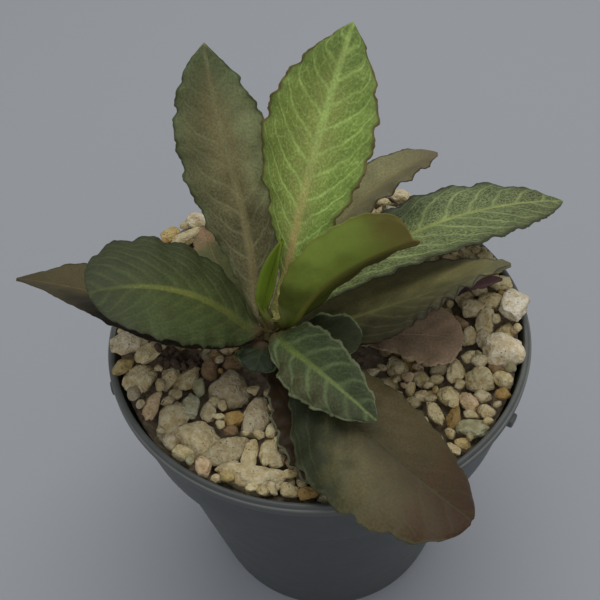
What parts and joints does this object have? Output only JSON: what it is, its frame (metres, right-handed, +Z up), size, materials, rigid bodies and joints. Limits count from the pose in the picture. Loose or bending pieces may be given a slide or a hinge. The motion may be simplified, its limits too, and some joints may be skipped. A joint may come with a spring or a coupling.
{
  "type": "potted euphorbia",
  "caption": "Small leafy succulent with broad veined leaves on a short stem, in a round nursery pot topped with pumice gravel.",
  "frame": {"origin": "centre of the pot's flat underside", "axes": "+Z up out of the pot's mouth; the face of the plant that the picture shows is towards -Y"},
  "size_m": [0.1139, 0.0997, 0.1399],
  "materials": {
    "pot": "moulded polypropylene, dark grey, satin",
    "soil": "damp potting compost",
    "gravel": "rough pale pumice gravel",
    "stem": "matt brown-green bark with leaf scars",
    "leaf_young": "young leaf, yellow-green, waxy satin",
    "leaf_grey_green": "grey-green leaf with pale net veins, satin",
    "leaf_green": "dark green leaf with pale veins, satin",
    "leaf_bronze": "olive-brown leaf, satin",
    "leaf_red": "reddish-brown leaf with a toothed margin, satin"
  },
  "bodies": {
    "root": {"pot": "pot", "soil": "soil", "gravel": "gravel", "stem": "stem", "leaf_upright": "leaf_young", "leaf_rear_left": "leaf_grey_green", "leaf_spoon": "leaf_young", "leaf_spindle": "leaf_young", "leaf_right": "leaf_grey_green", "leaf_rear_right": "leaf_bronze", "leaf_left": "leaf_green", "leaf_far_left": "leaf_bronze", "leaf_rear_small": "leaf_bronze", "leaf_front": "leaf_green", "leaf_lobe": "leaf_green", "leaf_dark": "leaf_green", "leaf_drooping": "leaf_bronze", "leaf_under_front": "leaf_bronze", "leaf_olive": "leaf_bronze", "leaf_red": "leaf_red", "leaf_under_right": "leaf_bronze"}
  },
  "joints": []
}
